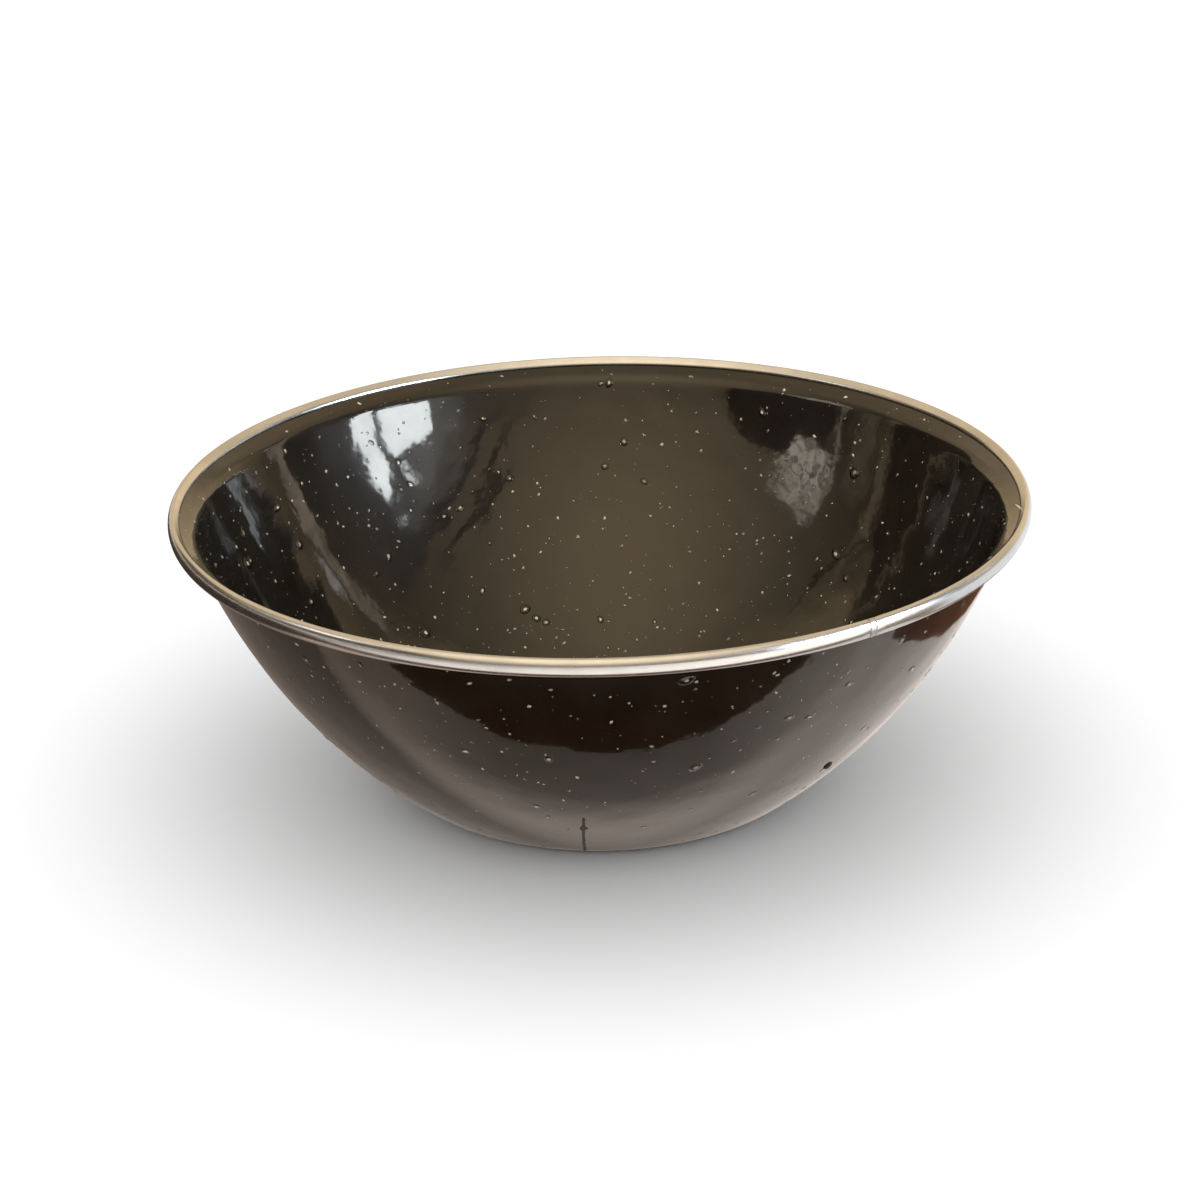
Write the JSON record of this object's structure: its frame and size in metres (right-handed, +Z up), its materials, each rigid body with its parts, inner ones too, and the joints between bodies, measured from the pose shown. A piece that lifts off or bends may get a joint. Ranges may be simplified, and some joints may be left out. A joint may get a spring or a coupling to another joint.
{
  "type": "enamel bowl",
  "caption": "Round deep bowl of pressed steel with black speckled enamel, a short flared lip and a rolled stainless rim, for serving or eating food.",
  "frame": {"origin": "centre of the face that the bowl stands on", "axes": "+Z up along the bowl's axis; -Y towards the viewer of the picture, +X to their right"},
  "size_m": [0.152, 0.152, 0.054],
  "materials": {
    "black_enamel": "glossy black fired glass with small cream specks and a slight orange-peel ripple",
    "ground_enamel": "dull dark fired glass, hidden under the cover coat",
    "pressed_steel": "pickled low-carbon steel sheet, hidden under the enamel",
    "stainless_rim": "polished stainless strip with fine rolling marks",
    "rim_weld": "ground flush, a little greyer than the band"
  },
  "bodies": {
    "root": {"enamel_outside": "black_enamel", "ground_coat_outside": "ground_enamel", "steel_shell": "pressed_steel", "ground_coat_inside": "ground_enamel", "enamel_inside": "black_enamel", "rim_band": "stainless_rim", "rim_weld": "rim_weld"}
  },
  "joints": []
}
